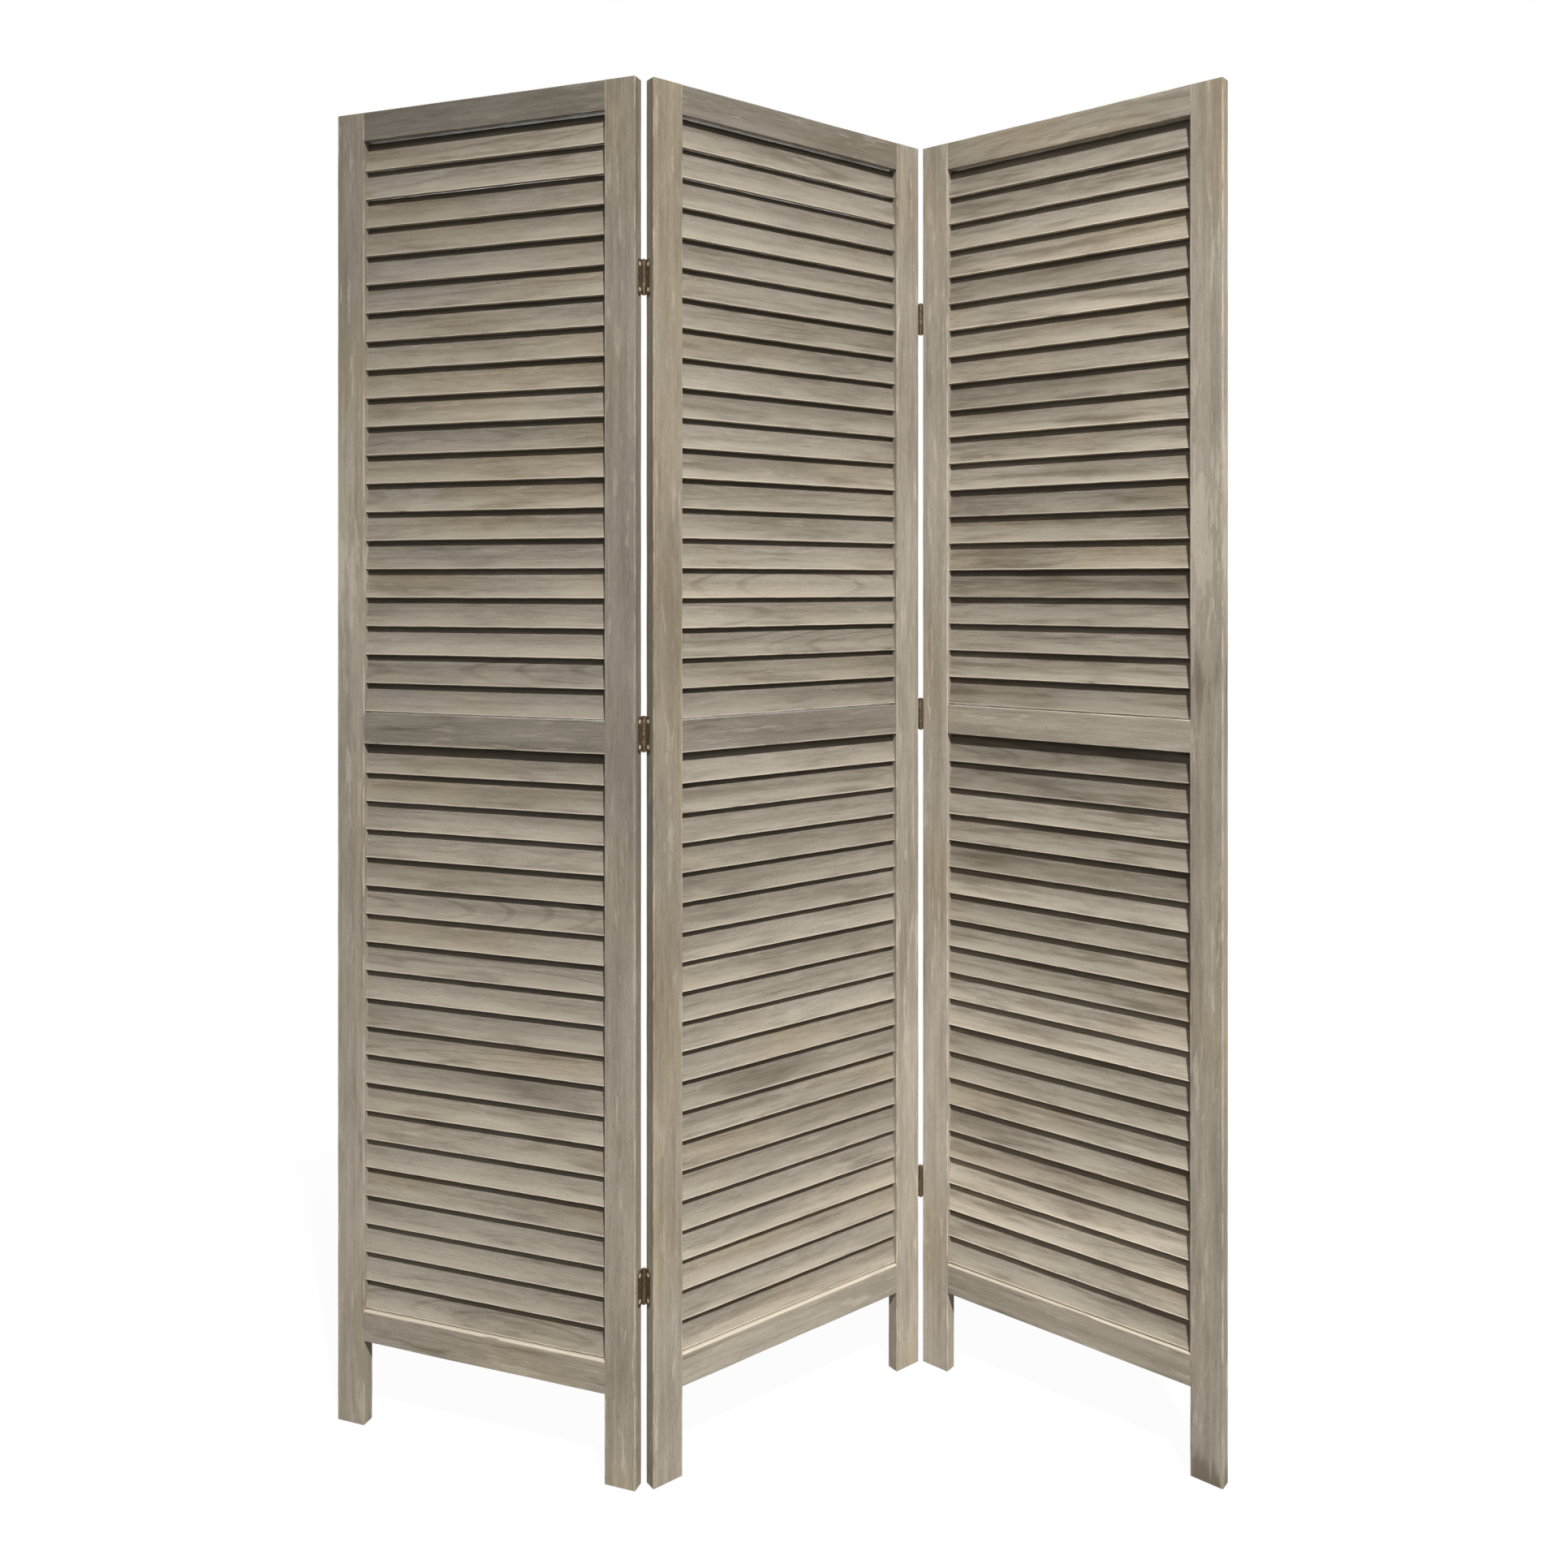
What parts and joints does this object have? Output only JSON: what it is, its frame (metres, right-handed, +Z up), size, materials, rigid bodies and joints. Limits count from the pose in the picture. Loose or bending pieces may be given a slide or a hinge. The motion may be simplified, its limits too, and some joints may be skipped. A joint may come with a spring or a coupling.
{
  "type": "louvered folding screen",
  "caption": "Free-standing folding screen of framed panels with fixed louver slats, joined by butt hinges so that it stands in a zigzag and folds flat.",
  "frame": {"origin": "on the floor, under the middle of the standing screen's plan", "axes": "+X to the right as seen from the front, +Y to the back, +Z up"},
  "size_m": [1.123, 0.2796, 1.7],
  "materials": {
    "frame_wood": "grey-brown washed and lightly distressed, matte lacquer",
    "slat_wood": "grey-brown washed and lightly distressed, matte lacquer",
    "dowel_wood": "plain beech",
    "hinge_metal": "antique bronze",
    "pin_metal": "antique bronze",
    "screw_metal": "brassed, satin"
  },
  "bodies": {
    "centre_panel": {"centre_panel_left_stile": "frame_wood", "centre_panel_right_stile": "frame_wood", "centre_panel_top_rail": "frame_wood", "centre_panel_middle_rail": "frame_wood", "centre_panel_bottom_rail": "frame_wood", "centre_panel_upper_slats": "slat_wood", "centre_panel_lower_slats": "slat_wood", "centre_panel_dowels": "dowel_wood", "left_hinge_upper_centre_leaf": "hinge_metal", "left_hinge_upper_pin": "pin_metal", "left_hinge_middle_centre_leaf": "hinge_metal", "left_hinge_middle_pin": "pin_metal", "left_hinge_lower_centre_leaf": "hinge_metal", "left_hinge_lower_pin": "pin_metal", "right_hinge_upper_centre_leaf": "hinge_metal", "right_hinge_upper_pin": "pin_metal", "right_hinge_middle_centre_leaf": "hinge_metal", "right_hinge_middle_pin": "pin_metal", "right_hinge_lower_centre_leaf": "hinge_metal", "right_hinge_lower_pin": "pin_metal", "centre_panel_left_hinge_screws": "screw_metal", "centre_panel_right_hinge_screws": "screw_metal"},
    "left_panel": {"left_panel_left_stile": "frame_wood", "left_panel_right_stile": "frame_wood", "left_panel_top_rail": "frame_wood", "left_panel_middle_rail": "frame_wood", "left_panel_bottom_rail": "frame_wood", "left_panel_upper_slats": "slat_wood", "left_panel_lower_slats": "slat_wood", "left_panel_dowels": "dowel_wood", "left_hinge_upper_left_leaf": "hinge_metal", "left_hinge_middle_left_leaf": "hinge_metal", "left_hinge_lower_left_leaf": "hinge_metal", "left_panel_hinge_screws": "screw_metal"},
    "right_panel": {"right_panel_left_stile": "frame_wood", "right_panel_right_stile": "frame_wood", "right_panel_top_rail": "frame_wood", "right_panel_middle_rail": "frame_wood", "right_panel_bottom_rail": "frame_wood", "right_panel_upper_slats": "slat_wood", "right_panel_lower_slats": "slat_wood", "right_panel_dowels": "dowel_wood", "right_hinge_upper_right_leaf": "hinge_metal", "right_hinge_middle_right_leaf": "hinge_metal", "right_hinge_lower_right_leaf": "hinge_metal", "right_panel_hinge_screws": "screw_metal"}
  },
  "joints": [
    {"name": "left_panel_fold", "type": "hinge", "parent": "centre_panel", "child": "left_panel", "pos_m": [-0.1465, -0.12402, 0.85], "axis": [0, 0, 1], "range_deg": [-123.4, 68.6]},
    {"name": "right_panel_fold", "type": "hinge", "parent": "centre_panel", "child": "right_panel", "pos_m": [0.20918, 0.12782, 0.85], "axis": [0, 0, 1], "range_deg": [-104.4, 87.6]}
  ]
}
